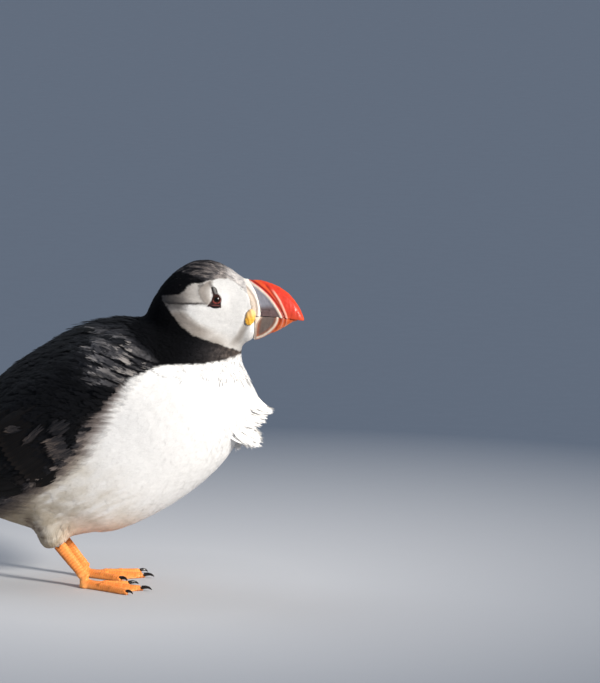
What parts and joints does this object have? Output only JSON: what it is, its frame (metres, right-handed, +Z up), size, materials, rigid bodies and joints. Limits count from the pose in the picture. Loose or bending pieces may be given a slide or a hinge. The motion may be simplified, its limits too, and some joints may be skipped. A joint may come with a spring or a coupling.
{
  "type": "seabird model",
  "caption": "Life-size still model of an Atlantic puffin standing on both webbed feet, wings folded, head level, wind lifting its breast feathers.",
  "frame": {"origin": "centre of the footprint of the bird's bounding box, at the level of its soles", "axes": "+X towards the bill, +Y towards the bird's left side, +Z up"},
  "size_m": [0.2346, 0.095, 0.1932],
  "materials": {
    "white_plumage": "soft matte white body feathers",
    "black_plumage": "black feathers with a faint sheen",
    "face_plumage": "short velvety pale grey face feathers",
    "ridge_horn": "cream fleshy ridge",
    "bill_horn": "horn, slightly shiny",
    "gape_skin": "wrinkled yellow-orange skin",
    "eye_wet": "wet and shiny",
    "eye_plate_horn": "grey horny skin",
    "foot_skin": "orange scaly skin",
    "claw_horn": "dark horn"
  },
  "bodies": {
    "root": {"bill_base_ridge": "ridge_horn", "bill_lower": "bill_horn", "bill_upper": "bill_horn", "claw_inner_left": "claw_horn", "claw_inner_right": "claw_horn", "claw_middle_left": "claw_horn", "claw_middle_right": "claw_horn", "claw_outer_left": "claw_horn", "claw_outer_right": "claw_horn", "crown": "black_plumage", "eye_left": "eye_wet", "eye_plate_above_left": "eye_plate_horn", "eye_plate_above_right": "eye_plate_horn", "eye_plate_below_left": "eye_plate_horn", "eye_plate_below_right": "eye_plate_horn", "eye_right": "eye_wet", "foot_left": "foot_skin", "foot_right": "foot_skin", "head": "face_plumage", "neck": "black_plumage", "rosette_left": "gape_skin", "rosette_right": "gape_skin", "tail": "black_plumage", "tarsus_left": "foot_skin", "tarsus_right": "foot_skin", "thigh_left": "white_plumage", "thigh_right": "white_plumage", "trunk_back": "black_plumage", "trunk_belly": "white_plumage", "wing_left": "black_plumage", "wing_right": "black_plumage", "wing_tip_left": "black_plumage", "wing_tip_right": "black_plumage"}
  },
  "joints": []
}
